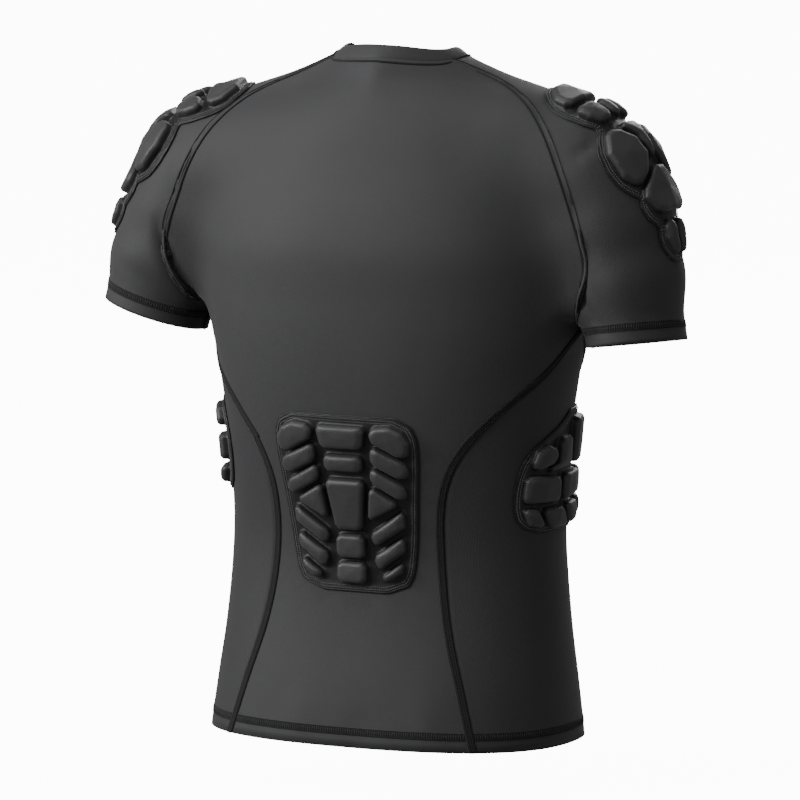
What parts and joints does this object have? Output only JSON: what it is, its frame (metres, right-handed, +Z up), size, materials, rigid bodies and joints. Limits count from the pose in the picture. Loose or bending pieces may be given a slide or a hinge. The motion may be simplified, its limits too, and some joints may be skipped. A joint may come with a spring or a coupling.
{
  "type": "padded compression shirt",
  "caption": "Short-sleeved raglan compression shirt in worn hollow form, with moulded foam block pads on the shoulders, ribs and lower back.",
  "frame": {"origin": "middle of the neck opening, level with the shoulder points of the neck seam", "axes": "+Z up along the wearer's back, -Y the wearer's front, +X the wearer's left"},
  "size_m": [0.604, 0.239, 0.6583],
  "materials": {
    "cloth": "taut charcoal stretch knit with a faint sheen",
    "side_cloth": "taut charcoal stretch knit, a little darker",
    "collar_band": "folded charcoal knit band",
    "pad": "dark stretch knit bonded over foam blocks"
  },
  "bodies": {
    "root": {"back_panel": "cloth", "front_panel": "cloth", "side_panel_left": "side_cloth", "side_panel_right": "side_cloth", "sleeve_left": "cloth", "sleeve_right": "cloth", "collar": "collar_band", "tail_pad": "pad", "rib_pad_left": "pad", "rib_pad_right": "pad", "shoulder_pad_left": "pad", "shoulder_pad_right": "pad"}
  },
  "joints": []
}
